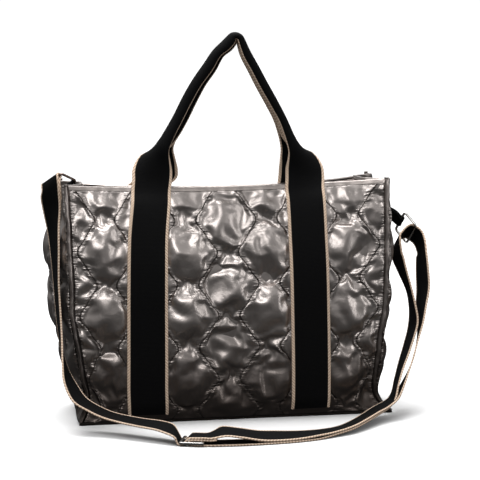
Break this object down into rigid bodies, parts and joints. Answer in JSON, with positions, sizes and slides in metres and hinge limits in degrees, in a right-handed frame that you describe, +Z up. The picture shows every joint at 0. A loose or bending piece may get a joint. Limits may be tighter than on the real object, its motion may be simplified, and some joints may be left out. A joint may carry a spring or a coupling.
{
  "type": "puffer tote bag",
  "caption": "Quilted puffer tote bag with folded webbing handles, a flat base and a long webbing shoulder strap on metal rings with a slide.",
  "frame": {"origin": "on the flat underside of the base, under the middle of the bag", "axes": "+X to the right as seen from the front, front wall towards -Y, +Z up to the handles"},
  "size_m": [0.3959, 0.2675, 0.3839],
  "materials": {
    "quilted_nylon": "satin pewter nylon, quilted",
    "base_nylon": "satin",
    "trim_nylon": "satin",
    "webbing": "matt black webbing with cream edges",
    "dark_ring": "gloss",
    "bright_metal": "polished"
  },
  "bodies": {
    "root": {"front_panel": "quilted_nylon", "back_panel": "quilted_nylon", "left_gusset": "quilted_nylon", "right_gusset": "quilted_nylon", "base_panel": "base_nylon", "front_hem": "trim_nylon", "back_hem": "trim_nylon", "front_left_welt": "trim_nylon", "front_right_welt": "trim_nylon", "back_left_welt": "trim_nylon", "back_right_welt": "trim_nylon", "front_handle": "webbing", "back_handle": "webbing", "left_tab": "webbing", "right_tab": "webbing", "shoulder_strap": "webbing", "left_ring": "dark_ring", "right_ring": "bright_metal", "slider": "bright_metal"}
  },
  "joints": []
}
